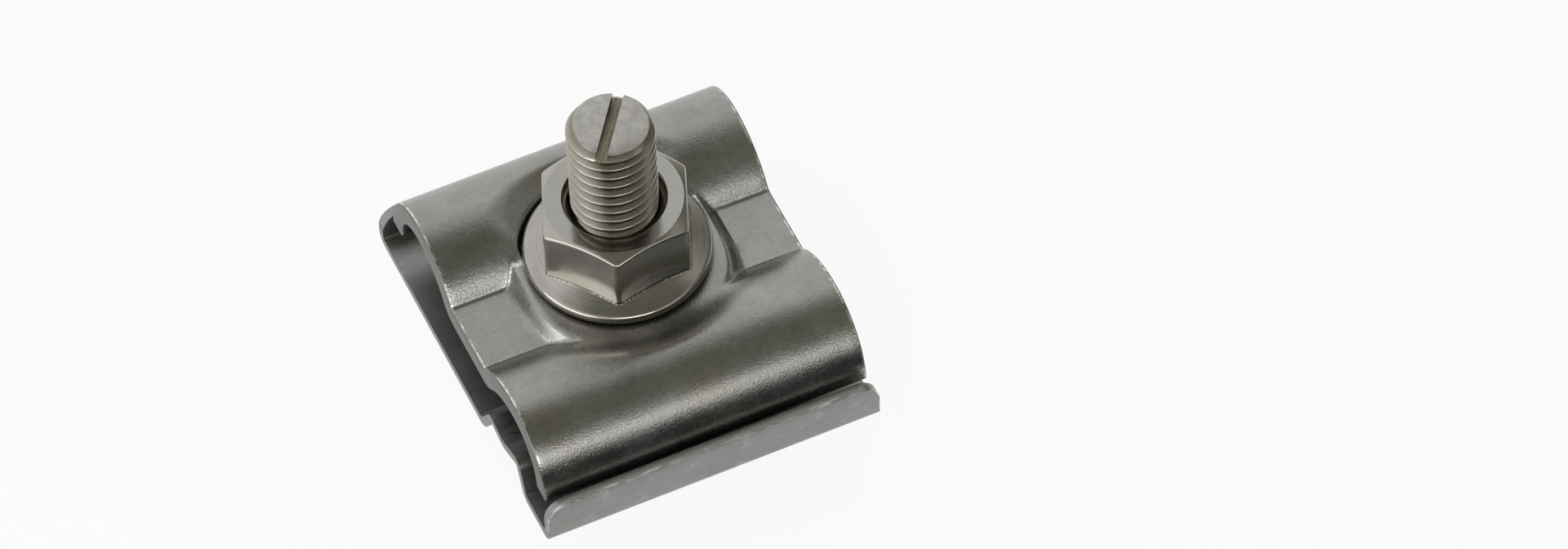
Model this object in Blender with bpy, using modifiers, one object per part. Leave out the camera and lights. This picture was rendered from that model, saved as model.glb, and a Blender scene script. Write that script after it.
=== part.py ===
"""Earthing clamp in pressed stainless steel: a folded base plate, a pressed clamping plate with two lobes,
a threaded hammer head bolt with a slotted end, and a flange nut.

The bolt axis is Z. Two channels run along X between the sheets, the rear one at +Y and the front one at -Y.
The clamp stands on the flat end of the hammer head, and the clamping plate is raised so that the rear
channel stays open under the nut's seat.
"""

import math

import bmesh
import bpy

MM = 0.001

# The two channels between the sheets; the rear one sets the height at rest
REAR_CHANNEL_DIAMETER = 8.0 * MM
REAR_CHANNEL_Y = 10.8 * MM
REAR_CHANNEL_CLEARANCE = 0.6 * MM
FRONT_CHANNEL_Y = -16.2 * MM

# Gap between faces that touch on the real clamp
SEAT_GAP = 0.3 * MM

# Base plate, one folded sheet
BASE_LENGTH = 40.0 * MM
BASE_SHEET = 1.2 * MM
REAR_LIP_Y = 22.4 * MM
REAR_LIP_HEIGHT = 4.9 * MM
FRONT_LIP_Y = -25.4 * MM
FRONT_LIP_HEIGHT = 6.7 * MM
LIP_CORNER = 2.5 * MM
LIP_BEND = 0.9 * MM
FLAT_END_Y = -6.9 * MM
FLAT_END_BEND = 2.0 * MM
INNER_RIB_Y = -9.6 * MM
INNER_RIB_HEIGHT = 4.0 * MM
SADDLE_Y = -12.9 * MM
SADDLE_HEIGHT = 3.3 * MM
SADDLE_BEND = 2.4 * MM
OUTER_RIB_Y = -17.0 * MM
OUTER_RIB_HEIGHT = 5.0 * MM
RIB_BEND = 0.9 * MM
RIDGE_Y = -18.8 * MM
RIDGE_HEIGHT = 0.7 * MM
RIDGE_BEND = 1.0 * MM

# Clamping plate, one pressed sheet
PLATE_LENGTH = 38.8 * MM
PLATE_SHEET = 2.5 * MM
REAR_LOBE_RADIUS = 8.2 * MM
REAR_SLOPE_RADIUS = 10.0 * MM
REAR_LOBE_RISE = 4.9 * MM
REAR_LOBE_DROP = 3.4 * MM
FRONT_LOBE_RADIUS = 7.2 * MM
FRONT_SLOPE_RADIUS = 13.0 * MM
FRONT_LOBE_RISE = 3.8 * MM
FRONT_LOBE_DROP = 3.6 * MM
VALLEY_BEND = 1.0 * MM
NUT_SEAT_RISE = 2.2 * MM
NUT_SEAT_MARGIN = 0.45 * MM
NUT_SEAT_SQUARENESS = 3.0
NUT_SEAT_FLANK = 1.8 * MM
NUT_SEAT_BLEND = 0.5 * MM
REAR_RECESS_FLANK = 1.6 * MM
FRONT_RECESS_FLANK = 5.0 * MM

# Hammer head bolt, M10
BOLT_DIAMETER = 9.85 * MM
SHANK_LENGTH = 35.2 * MM
POINT_CHAMFER = 0.55 * MM
THREAD_PITCH = 1.5 * MM
THREAD_DEPTH = 0.9 * MM
THREAD_CREST = 0.2 * MM
THREAD_FLANK_ANGLE = math.radians(30.0)
PLAIN_SHANK = 3.15 * MM
PLAIN_SHANK_DIAMETER = 9.0 * MM
HEAD_LENGTH = 30.5 * MM
HEAD_WIDTH = 14.8 * MM
HEAD_THICKNESS = 5.7 * MM
HEAD_ROUND_CORNER = 7.0 * MM
HEAD_SHARP_CORNER = 0.7 * MM
SLOT_WIDTH = 1.4 * MM
SLOT_DEPTH = 0.9 * MM
BOLT_REST_TURN = math.radians(54.0)
BOLT_HOLE_CLEARANCE = 0.6 * MM

# Flange nut, M10
NUT_ACROSS_FLATS = 16.0 * MM
NUT_HEIGHT = 9.6 * MM
FLANGE_DIAMETER = 21.2 * MM
FLANGE_RIM = 1.2 * MM
FLANGE_SLOPE_TOP = 3.7 * MM
NUT_CHAMFER_ANGLE = math.radians(30.0)
NUT_BORE_CLEARANCE = 0.28 * MM
NUT_COUNTERSINK = 0.6 * MM
NUT_REST_TURN = math.radians(7.5)

# Smoothness of the round shapes
TURNED_SIDES = 72
HOLE_SIDES = 48
THREAD_SIDES = 24
ARC_STEP = 1.25 * MM
SEAT_STEP = 0.5 * MM
BEND_STEP_ANGLE = math.radians(18.0)

# Heights that follow from the sizes above
BASE_Z = HEAD_THICKNESS + SEAT_GAP
BASE_TOP_Z = BASE_Z + BASE_SHEET
VALLEY_Z = BASE_TOP_Z + REAR_CHANNEL_DIAMETER + REAR_CHANNEL_CLEARANCE + PLATE_SHEET - NUT_SEAT_RISE
NUT_Z = VALLEY_Z + NUT_SEAT_RISE + SEAT_GAP
BOLT_HOLE_RADIUS = BOLT_DIAMETER / 2 + BOLT_HOLE_CLEARANCE
NUT_SEAT_RADIUS = FLANGE_DIAMETER / 2 + NUT_SEAT_MARGIN

COLLECTION_NAME = "earthing_clamp"
CUTTERS_NAME = "cutters"


def clear_scene():
    for obj in list(bpy.data.objects):
        bpy.data.objects.remove(obj, do_unlink=True)


def new_collection(name):
    collection = bpy.data.collections.new(name)
    bpy.context.scene.collection.children.link(collection)
    return collection


def steel(name, colour, roughness):
    """A bare stainless steel finish."""
    material = bpy.data.materials.new(name)
    material.use_nodes = True
    shader = material.node_tree.nodes["Principled BSDF"]
    shader.inputs["Base Color"].default_value = (*colour, 1.0)
    shader.inputs["Metallic"].default_value = 1.0
    shader.inputs["Roughness"].default_value = roughness
    return material


def move_to(obj, collection):
    for owner in list(obj.users_collection):
        owner.objects.unlink(obj)
    collection.objects.link(obj)


def object_from(shape, name, collection):
    """Makes an object of a bmesh, with its normals turned outwards."""
    bmesh.ops.recalc_face_normals(shape, faces=shape.faces)
    mesh = bpy.data.meshes.new(name)
    shape.to_mesh(mesh)
    shape.free()
    obj = bpy.data.objects.new(name, mesh)
    collection.objects.link(obj)
    return obj


def finish(obj, material, height, turn=0.0, crease=math.radians(20.0)):
    """Stands a piece on the bolt axis, with its finish, and smooth up to the angle of a crease."""
    obj.data.materials.clear()
    obj.data.materials.append(material)
    obj.data.shade_smooth()
    obj.data.set_sharp_from_angle(angle=crease)
    obj.location = (0.0, 0.0, height)
    obj.rotation_euler = (0.0, 0.0, turn)


def hide_cutter(obj, cutters):
    move_to(obj, cutters)
    obj.hide_render = True
    obj.display_type = "WIRE"


def boolean(obj, operation, other):
    modifier = obj.modifiers.new(operation.lower(), "BOOLEAN")
    modifier.operation = operation
    modifier.solver = "EXACT"
    modifier.object = other


def apply_modifiers(obj):
    """Replaces the object's mesh by what its modifiers make of it."""
    graph = bpy.context.evaluated_depsgraph_get()
    mesh = bpy.data.meshes.new_from_object(obj.evaluated_get(graph))
    obj.modifiers.clear()
    obj.data = mesh


def turned(name, profile, cutters, sides=TURNED_SIDES):
    """A closed turned solid from a profile of (radius, height) that starts and ends on the axis."""
    shape = bmesh.new()
    previous = None
    for radius, height in profile:
        vert = shape.verts.new((radius, 0.0, height))
        if previous is not None:
            shape.edges.new((previous, vert))
        previous = vert
    mesh = bpy.data.meshes.new(name)
    shape.to_mesh(mesh)
    shape.free()
    obj = bpy.data.objects.new(name, mesh)
    cutters.objects.link(obj)
    screw = obj.modifiers.new("turn", "SCREW")
    screw.steps = sides
    screw.render_steps = sides
    screw.use_merge_vertices = True
    screw.merge_threshold = 0.00001
    apply_modifiers(obj)
    shape = bmesh.new()
    shape.from_mesh(obj.data)
    bmesh.ops.remove_doubles(shape, verts=shape.verts, dist=0.000001)
    bmesh.ops.recalc_face_normals(shape, faces=shape.faces)
    shape.to_mesh(obj.data)
    shape.free()
    hide_cutter(obj, cutters)
    return obj


def drill(obj, radius, low, high, cutters):
    """Cuts a round hole along the bolt axis."""
    bpy.ops.mesh.primitive_cylinder_add(
        vertices=HOLE_SIDES, radius=radius, depth=high - low, location=(0.0, 0.0, (low + high) / 2)
    )
    cutter = bpy.context.object
    cutter.name = obj.name + "_hole"
    cutter.parent = obj
    hide_cutter(cutter, cutters)
    boolean(obj, "DIFFERENCE", cutter)


def arc(centre, radius, start, end, outward=1.0, step=ARC_STEP):
    """Points with unit normals along an arc in the section plane, from one angle to another."""
    count = max(2, math.ceil(abs(end - start) * radius / step))
    points = []
    for index in range(count + 1):
        angle = start + (end - start) * index / count
        normal = (math.cos(angle), math.sin(angle))
        place = (centre[0] + radius * normal[0], centre[1] + radius * normal[1])
        points.append((place, (outward * normal[0], outward * normal[1])))
    return points


def straight(start, end, normal, step):
    """Points between two ends of a straight stretch, without the ends."""
    length = math.dist(start, end)
    count = max(1, math.ceil(length / step))
    points = []
    for index in range(1, count):
        share = index / count
        place = (start[0] + share * (end[0] - start[0]), start[1] + share * (end[1] - start[1]))
        points.append((place, normal))
    return points


def bent_path(corners):
    """A path through corners of (y, z, bend radius), as points with the normals on its left side."""
    path = []
    last = len(corners) - 1
    for index, (y, z, radius) in enumerate(corners):
        back = corners[max(index - 1, 0)]
        ahead = corners[min(index + 1, last)]
        way_in = math.atan2(z - back[1], y - back[0])
        way_out = math.atan2(ahead[1] - z, ahead[0] - y)
        if index in (0, last):
            way = way_out if index == 0 else way_in
            path.append(((y, z), (-math.sin(way), math.cos(way))))
            continue
        bend = (way_out - way_in + math.pi) % math.tau - math.pi
        side = math.copysign(1.0, bend)
        reach = radius * math.tan(abs(bend) / 2)
        start = (y - reach * math.cos(way_in), z - reach * math.sin(way_in))
        centre = (
            start[0] - side * radius * math.sin(way_in),
            start[1] + side * radius * math.cos(way_in),
        )
        first = way_in - side * math.pi / 2
        path += arc(centre, radius, first, first + bend, -side, radius * BEND_STEP_ANGLE)
    return path


def sheet_ring(path, above, below):
    """The closed outline of a sheet: the path moved to one side, and back along its other side."""
    near = [(y + above * ny, z + above * nz) for (y, z), (ny, nz) in path]
    far = [(y - below * ny, z - below * nz) for (y, z), (ny, nz) in path]
    return near + far[::-1]


def extruded_sheet(name, ring, stations, place, collection):
    """Draws the outline of a sheet through the stations along X and closes both ends.

    place(index, x, y, z) gives the position of each point, so that a press can move it.
    """
    shape = bmesh.new()
    verts = [shape.verts.new(place(i, stations[0], y, z)) for i, (y, z) in enumerate(ring)]
    edges = [shape.edges.new((verts[i - 1], verts[i])) for i in range(len(verts))]
    bmesh.ops.edgenet_fill(shape, edges=edges)
    for x in stations[1:]:
        made = bmesh.ops.extrude_edge_only(shape, edges=edges)["geom"]
        new_verts = [item for item in made if isinstance(item, bmesh.types.BMVert)]
        edges = [item for item in made if isinstance(item, bmesh.types.BMEdge)]
        twin = {}
        for vert in new_verts:
            for edge in vert.link_edges:
                other = edge.other_vert(vert)
                if other in verts:
                    twin[other] = vert
        verts = [twin[vert] for vert in verts]
        for index, vert in enumerate(verts):
            vert.co = place(index, x, *ring[index])
        edges = [shape.edges.get((verts[i - 1], verts[i])) for i in range(len(verts))]
    bmesh.ops.edgenet_fill(shape, edges=edges)
    return object_from(shape, name, collection)


def both_ends(half_stations):
    """Stations mirrored about the middle of the sheet."""
    return sorted({-x for x in half_stations} | set(half_stations))


def base_path():
    """The folded sheet's middle line, from the rear lip to the front lip."""
    half = BASE_SHEET / 2
    return bent_path(
        [
            (REAR_LIP_Y - half, REAR_LIP_HEIGHT, 0.0),
            (REAR_LIP_Y - half, half, LIP_BEND),
            (FLAT_END_Y, half, FLAT_END_BEND),
            (INNER_RIB_Y, INNER_RIB_HEIGHT + half, RIB_BEND),
            (SADDLE_Y, SADDLE_HEIGHT + half, SADDLE_BEND),
            (OUTER_RIB_Y, OUTER_RIB_HEIGHT + half, RIB_BEND),
            (RIDGE_Y, RIDGE_HEIGHT + half, RIDGE_BEND),
            (FRONT_LIP_Y + half, RIDGE_HEIGHT + half, LIP_BEND),
            (FRONT_LIP_Y + half, FRONT_LIP_HEIGHT, 0.0),
        ]
    )


def make_base_plate(collection, cutters, material):
    path = base_path()
    ring = sheet_ring(path, BASE_SHEET / 2, BASE_SHEET / 2)
    lip_ends = {0, len(path) - 1, len(path), len(ring) - 1}
    corner_start = BASE_LENGTH / 2 - LIP_CORNER
    quarter = [index * math.pi / 8 for index in range(5)]

    def place(index, x, y, z):
        """Rounds the free corners of both lips."""
        past = (abs(x) - corner_start) / LIP_CORNER
        if index in lip_ends and past > 0.0:
            z -= LIP_CORNER * (1.0 - math.sqrt(max(0.0, 1.0 - past * past)))
        return (x, y, z)

    half_stations = [corner_start + LIP_CORNER * math.sin(angle) for angle in quarter]
    base = extruded_sheet("base_plate", ring, both_ends(half_stations), place, collection)
    drill(base, BOLT_HOLE_RADIUS, -BASE_SHEET, 2 * BASE_SHEET, cutters)
    finish(base, material, BASE_Z)
    return base


def lobe_fillet(centre, radius, side):
    """The centre of the bend that joins a lobe to the valley, and its direction from the lobe's centre."""
    rise = VALLEY_BEND - centre[1]
    across = math.sqrt((radius + VALLEY_BEND) ** 2 - rise**2)
    return (centre[0] + side * across, VALLEY_BEND), math.atan2(rise, side * across)


def plate_path():
    """The pressed sheet's outer line with its normals, from the rear lobe to the front lobe."""
    rear_centre = (REAR_CHANNEL_Y, REAR_LOBE_RISE - REAR_LOBE_RADIUS)
    rear_slope = (REAR_CHANNEL_Y, REAR_LOBE_RISE - REAR_SLOPE_RADIUS)
    front_slope = (FRONT_CHANNEL_Y, FRONT_LOBE_RISE - FRONT_SLOPE_RADIUS)
    front_centre = (FRONT_CHANNEL_Y, FRONT_LOBE_RISE - FRONT_LOBE_RADIUS)
    rear_bend, rear_angle = lobe_fillet(rear_slope, REAR_SLOPE_RADIUS, -1.0)
    front_bend, front_angle = lobe_fillet(front_slope, FRONT_SLOPE_RADIUS, 1.0)
    up = math.pi / 2
    rear_tip = math.asin((-REAR_LOBE_DROP - rear_centre[1]) / REAR_LOBE_RADIUS)
    front_tip = math.pi - math.asin((-FRONT_LOBE_DROP - front_centre[1]) / FRONT_LOBE_RADIUS)
    bend_step = VALLEY_BEND * BEND_STEP_ANGLE
    pressed = min(REAR_LOBE_RADIUS, NUT_SEAT_RADIUS + REAR_RECESS_FLANK - REAR_CHANNEL_Y)
    pressed_angle = math.acos(max(0.1, pressed / REAR_LOBE_RADIUS))
    path = arc(rear_centre, REAR_LOBE_RADIUS, rear_tip, pressed_angle)
    path += arc(rear_centre, REAR_LOBE_RADIUS, pressed_angle, up, step=SEAT_STEP)[1:]
    path += arc(rear_slope, REAR_SLOPE_RADIUS, up, rear_angle, step=SEAT_STEP)[1:]
    path += arc(rear_bend, VALLEY_BEND, rear_angle - math.pi, -up, -1.0, bend_step)[1:]
    path += straight((rear_bend[0], 0.0), (front_bend[0], 0.0), (0.0, 1.0), SEAT_STEP)
    path += arc(front_bend, VALLEY_BEND, -up, front_angle - math.pi, -1.0, bend_step)
    path += arc(front_slope, FRONT_SLOPE_RADIUS, front_angle, up, step=SEAT_STEP)[1:]
    path += arc(front_centre, FRONT_LOBE_RADIUS, up, front_tip)[1:]
    return path


def smooth_share(reach, flank):
    """How far a press acts at this reach: 1 on the nut's seat, 0 past a flank round it."""
    share = min(1.0, max(0.0, (NUT_SEAT_RADIUS + flank - reach) / flank))
    return share * share * (3.0 - 2.0 * share)


def press_seat(x, y, z, level):
    """The height after the press has raised the valley and sunk both lobes to the seat's level."""
    power = NUT_SEAT_SQUARENESS
    raised = smooth_share((abs(x) ** power + abs(y) ** power) ** (1.0 / power), NUT_SEAT_FLANK)
    if raised > 0.0:
        plateau = level - (1.0 - raised) * NUT_SEAT_RISE
        near = max(0.0, NUT_SEAT_BLEND - abs(z - plateau))
        z = max(z, plateau) + near**2 / (4.0 * NUT_SEAT_BLEND)
    reach = max(math.hypot(x, y), 0.1 * MM)
    front = 0.5 - 0.5 * y / reach
    sunk = smooth_share(reach, REAR_RECESS_FLANK + front * (FRONT_RECESS_FLANK - REAR_RECESS_FLANK))
    return z - sunk * max(0.0, z - level)


def make_clamping_plate(collection, cutters, material):
    path = plate_path()
    ring = sheet_ring(path, 0.0, PLATE_SHEET)

    def place(index, x, y, z):
        """Presses both skins of the sheet, the upper one to the seat's level."""
        level = NUT_SEAT_RISE if index < len(path) else NUT_SEAT_RISE - PLATE_SHEET
        return (x, y, press_seat(x, y, z, level))

    boss_half = NUT_SEAT_RADIUS + NUT_SEAT_FLANK
    count = math.ceil(boss_half / SEAT_STEP)
    half_stations = [boss_half * index / count for index in range(count + 1)]
    half_stations.append(PLATE_LENGTH / 2)
    plate = extruded_sheet("clamping_plate", ring, both_ends(half_stations), place, collection)
    drill(plate, BOLT_HOLE_RADIUS, -2 * PLATE_SHEET, 2 * NUT_SEAT_RISE + PLATE_SHEET, cutters)
    finish(plate, material, VALLEY_Z, crease=math.radians(50.0))
    return plate


def head_outline():
    """The hammer head seen from above, long along X: two corners stay sharp, and two are round to turn."""
    x, y = HEAD_LENGTH / 2, HEAD_WIDTH / 2
    corners = [
        (x, y, HEAD_SHARP_CORNER),
        (-x, y, HEAD_ROUND_CORNER),
        (-x, -y, HEAD_SHARP_CORNER),
        (x, -y, HEAD_ROUND_CORNER),
    ]
    points = []
    for index, (cx, cy, radius) in enumerate(corners):
        centre = (cx - math.copysign(radius, cx), cy - math.copysign(radius, cy))
        start = index * math.pi / 2
        points += [place for place, _ in arc(centre, radius, start, start + math.pi / 2)]
    return points


def thread_body(low, top, cutters):
    """A right-hand thread: one turn's profile drawn up a helix past both ends, and closed on the axis."""
    radius = BOLT_DIAMETER / 2
    root = radius - THREAD_DEPTH
    flank = THREAD_DEPTH * math.tan(THREAD_FLANK_ANGLE)
    half_root = (THREAD_PITCH - THREAD_CREST) / 2 - flank
    profile = [
        (root, 0.0),
        (root, half_root),
        (radius, half_root + flank),
        (radius, half_root + flank + THREAD_CREST),
        (root, THREAD_PITCH - half_root),
        (root, THREAD_PITCH),
    ]
    shape = bmesh.new()
    verts = [shape.verts.new((x, 0.0, low + z)) for x, z in profile]
    for first, second in zip(verts, verts[1:]):
        shape.edges.new((first, second))
    mesh = bpy.data.meshes.new("t_bolt_thread")
    shape.to_mesh(mesh)
    shape.free()
    thread = bpy.data.objects.new("t_bolt_thread", mesh)
    cutters.objects.link(thread)
    screw = thread.modifiers.new("helix", "SCREW")
    screw.screw_offset = THREAD_PITCH
    screw.iterations = math.ceil((top - low) / THREAD_PITCH) + 1
    screw.steps = THREAD_SIDES
    screw.render_steps = THREAD_SIDES
    apply_modifiers(thread)
    shape = bmesh.new()
    shape.from_mesh(thread.data)
    bmesh.ops.remove_doubles(shape, verts=shape.verts, dist=0.00001)
    open_edges = [edge for edge in shape.edges if edge.is_boundary]
    made = bmesh.ops.extrude_edge_only(shape, edges=open_edges)["geom"]
    drawn = [item for item in made if isinstance(item, bmesh.types.BMVert)]
    middle = (low + top) / 2
    lower_rim = [vert for vert in drawn if vert.co.z < middle]
    upper_rim = [vert for vert in drawn if vert.co.z >= middle]
    for rim in (lower_rim, upper_rim):
        level = sum(vert.co.z for vert in rim) / len(rim)
        bmesh.ops.pointmerge(shape, verts=rim, merge_co=(0.0, 0.0, level))
    bmesh.ops.recalc_face_normals(shape, faces=shape.faces)
    shape.to_mesh(thread.data)
    shape.free()
    hide_cutter(thread, cutters)
    return thread


def make_t_bolt(collection, cutters, material):
    curve = bpy.data.curves.new("t_bolt_head", "CURVE")
    curve.dimensions = "2D"
    curve.fill_mode = "BOTH"
    curve.extrude = HEAD_THICKNESS / 2
    outline = head_outline()
    spline = curve.splines.new("POLY")
    spline.points.add(len(outline) - 1)
    for point, (x, y) in zip(spline.points, outline):
        point.co = (x, y, 0.0, 1.0)
    spline.use_cyclic_u = True
    guide = bpy.data.objects.new("t_bolt_head", curve)
    collection.objects.link(guide)
    graph = bpy.context.evaluated_depsgraph_get()
    mesh = bpy.data.meshes.new_from_object(guide.evaluated_get(graph))
    bpy.data.objects.remove(guide, do_unlink=True)
    shape = bmesh.new()
    shape.from_mesh(mesh)
    bmesh.ops.remove_doubles(shape, verts=shape.verts, dist=0.000001)
    bmesh.ops.translate(shape, verts=shape.verts, vec=(0.0, 0.0, HEAD_THICKNESS / 2))
    bolt = object_from(shape, "t_bolt", collection)

    radius = BOLT_DIAMETER / 2
    top = HEAD_THICKNESS + SHANK_LENGTH
    thread_low = HEAD_THICKNESS + PLAIN_SHANK - THREAD_PITCH
    thread = thread_body(thread_low, top, cutters)
    wide = 1.1 * radius
    point = turned(
        "t_bolt_point",
        [
            (0.0, top),
            (radius - POINT_CHAMFER, top),
            (wide, top - (wide - radius + POINT_CHAMFER)),
            (wide, HEAD_THICKNESS / 2),
            (0.0, HEAD_THICKNESS / 2),
        ],
        cutters,
    )
    shank = turned(
        "t_bolt_shank",
        [
            (0.0, HEAD_THICKNESS + PLAIN_SHANK),
            (PLAIN_SHANK_DIAMETER / 2, HEAD_THICKNESS + PLAIN_SHANK),
            (PLAIN_SHANK_DIAMETER / 2, HEAD_THICKNESS / 2),
            (0.0, HEAD_THICKNESS / 2),
        ],
        cutters,
        HOLE_SIDES,
    )
    for helper in (thread, point, shank):
        helper.parent = bolt
    boolean(thread, "INTERSECT", point)
    boolean(shank, "UNION", thread)
    boolean(bolt, "UNION", shank)
    bpy.ops.mesh.primitive_cube_add(size=1.0, location=(0.0, 0.0, top))
    slot = bpy.context.object
    slot.name = "t_bolt_slot"
    slot.scale = (2 * BOLT_DIAMETER, SLOT_WIDTH, 2 * SLOT_DEPTH)
    slot.parent = bolt
    hide_cutter(slot, cutters)
    boolean(bolt, "DIFFERENCE", slot)
    finish(bolt, material, 0.0, BOLT_REST_TURN)
    return bolt


def make_flange_nut(collection, cutters, material):
    corner = NUT_ACROSS_FLATS / math.sqrt(3.0)
    bpy.ops.mesh.primitive_cylinder_add(
        vertices=6,
        radius=corner,
        depth=NUT_HEIGHT - FLANGE_RIM,
        location=(0.0, 0.0, (NUT_HEIGHT + FLANGE_RIM) / 2),
        rotation=(0.0, 0.0, math.pi / 6),
    )
    nut = bpy.context.object
    bpy.ops.object.transform_apply(location=True, rotation=True, scale=True)
    nut.name = "flange_nut"
    move_to(nut, collection)

    flat = NUT_ACROSS_FLATS / 2
    wide = 1.5 * corner
    chamfer = turned(
        "flange_nut_chamfer",
        [
            (0.0, NUT_HEIGHT),
            (0.96 * flat, NUT_HEIGHT),
            (wide, NUT_HEIGHT - (wide - 0.96 * flat) * math.tan(NUT_CHAMFER_ANGLE)),
            (wide, 0.0),
            (0.0, 0.0),
        ],
        cutters,
    )
    chamfer.parent = nut
    boolean(nut, "INTERSECT", chamfer)
    rim = FLANGE_DIAMETER / 2
    rounding = FLANGE_RIM / 3
    flange = turned(
        "flange_nut_flange",
        [
            (0.0, FLANGE_SLOPE_TOP),
            (0.9 * flat, FLANGE_SLOPE_TOP),
            (rim - rounding, FLANGE_RIM),
            (rim, FLANGE_RIM - rounding),
            (rim, rounding),
            (rim - rounding, 0.0),
            (0.0, 0.0),
        ],
        cutters,
    )
    flange.parent = nut
    boolean(nut, "UNION", flange)
    bore = BOLT_DIAMETER / 2 + NUT_BORE_CLEARANCE
    sink = NUT_COUNTERSINK
    thread_hole = turned(
        "flange_nut_bore",
        [
            (0.0, NUT_HEIGHT + sink),
            (bore + 2 * sink, NUT_HEIGHT + sink),
            (bore, NUT_HEIGHT - sink),
            (bore, sink),
            (bore + 2 * sink, -sink),
            (0.0, -sink),
        ],
        cutters,
    )
    thread_hole.parent = nut
    boolean(nut, "DIFFERENCE", thread_hole)
    finish(nut, material, NUT_Z, NUT_REST_TURN)
    return nut


def main():
    clear_scene()
    collection = new_collection(COLLECTION_NAME)
    cutters = new_collection(CUTTERS_NAME)
    sheet_steel = steel("sheet_steel", (0.40, 0.40, 0.385), 0.36)
    lobed_steel = steel("pressed_steel", (0.38, 0.38, 0.36), 0.32)
    bolt_steel = steel("bolt_steel", (0.44, 0.42, 0.38), 0.34)
    nut_steel = steel("nut_steel", (0.45, 0.44, 0.40), 0.24)
    pieces = [
        make_base_plate(collection, cutters, sheet_steel),
        make_clamping_plate(collection, cutters, lobed_steel),
        make_t_bolt(collection, cutters, bolt_steel),
        make_flange_nut(collection, cutters, nut_steel),
    ]
    axis = bpy.data.objects.new("bolt_axis", None)
    collection.objects.link(axis)
    for piece in pieces:
        piece.parent = axis


main()
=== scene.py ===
"""Dresses the earthing clamp: folded base plate, pressed clamping plate, hammer head bolt and flange nut.

The file is laid out as an add-on and run as a script. Lengths are in metres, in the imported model's frame: the
bolt's axis is Z, and both channels run along X, the rear one at +Y and the front one at -Y.
"""

import math

import bmesh
import bpy
from bpy.props import FloatProperty, FloatVectorProperty, IntProperty, PointerProperty
from bpy.types import Operator, Panel, PropertyGroup
from mathutils import Matrix, Vector


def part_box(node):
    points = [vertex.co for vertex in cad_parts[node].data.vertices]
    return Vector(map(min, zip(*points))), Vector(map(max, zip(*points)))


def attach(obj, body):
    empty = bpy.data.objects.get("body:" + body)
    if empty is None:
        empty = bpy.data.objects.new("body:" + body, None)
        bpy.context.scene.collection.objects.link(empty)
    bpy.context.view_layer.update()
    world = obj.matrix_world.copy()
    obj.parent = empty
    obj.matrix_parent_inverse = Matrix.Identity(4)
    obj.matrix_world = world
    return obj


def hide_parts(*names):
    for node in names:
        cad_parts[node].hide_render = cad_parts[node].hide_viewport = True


bl_info = {
    "name": "Earthing clamp",
    "version": (1, 0, 0),
    "blender": (4, 5, 0),
    "location": "3D View > Sidebar > Clamp",
    "description": "Builds the four steel pieces of an earthing clamp and the stage they are shown on",
    "category": "Object",
}

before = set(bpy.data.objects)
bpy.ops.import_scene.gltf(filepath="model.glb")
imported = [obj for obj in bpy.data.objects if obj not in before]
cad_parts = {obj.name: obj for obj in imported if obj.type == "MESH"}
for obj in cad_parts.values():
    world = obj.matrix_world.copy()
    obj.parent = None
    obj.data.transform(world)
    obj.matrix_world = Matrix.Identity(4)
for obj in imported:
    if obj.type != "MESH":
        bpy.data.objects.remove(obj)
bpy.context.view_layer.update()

MM = 0.001
BASE_LOW, BASE_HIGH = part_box("base_plate")
PLATE_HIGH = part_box("clamping_plate")[1]
NUT_LOW, NUT_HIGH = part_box("flange_nut")
BOLT_LOW, BOLT_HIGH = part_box("t_bolt")


def length(name, millimetres, text):
    """A size that a user can change, given here in millimetres."""
    return FloatProperty(name=name, description=text, default=millimetres * MM, unit="LENGTH", precision=5)


def amount(name, value, text):
    return FloatProperty(name=name, description=text, default=value, min=0.0, max=1.0)


def angle(name, degrees, text):
    return FloatProperty(name=name, description=text, default=math.radians(degrees), subtype="ANGLE")


def number(name, value, text):
    return IntProperty(name=name, description=text, default=value, min=6, max=480)


def colour(name, value, text):
    return FloatVectorProperty(
        name=name, description=text, default=value, size=3, subtype="COLOR", min=0.0, max=1.0
    )


class ClampBaseSizes(PropertyGroup):
    sheet: length("Sheet", 1.2, "Thickness of the folded sheet")
    rear_lip: length("Rear lip", 4.9, "Height of the rear lip")
    front_lip: length("Front lip", 6.7, "Height of the front lip")
    lip_corner: length("Lip corner", 2.5, "Radius of the free corners of both lips")
    lip_bend: length("Lip bend", 0.9, "Middle radius of the bend at the foot of each lip")
    inner_rib: length("Inner rib", 4.0, "Height of the rib beside the bolt")
    saddle: length("Saddle", 3.3, "Height of the groove between the ribs")
    outer_rib: length("Outer rib", 5.0, "Height of the rib beside the front lip")
    ridge: length("Ridge", 0.7, "Height of the flat strip at the front lip's foot")
    floor_end: length("Floor end", -6.9, "Place where the floor turns up to the inner rib")
    inner_y: length("Inner rib place", -9.6, "Place of the inner rib")
    saddle_y: length("Saddle place", -12.9, "Place of the saddle's lowest line")
    outer_y: length("Outer rib place", -17.0, "Place of the outer rib")
    ridge_y: length("Ridge place", -18.8, "Place where the flat strip starts")
    floor_bend: length("Floor bend", 2.0, "Middle radius of the bend at the floor's end")
    rib_bend: length("Rib bend", 0.9, "Middle radius of the bend over each rib")
    saddle_bend: length("Saddle bend", 2.4, "Middle radius of the saddle")
    ridge_bend: length("Ridge bend", 1.0, "Middle radius of the bend at the strip's start")
    hole: length("Hole", 11.05, "Diameter of the bolt's hole")
    edge: length("Edge", 0.2, "Rounding of the sheet's cut edges")


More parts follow.
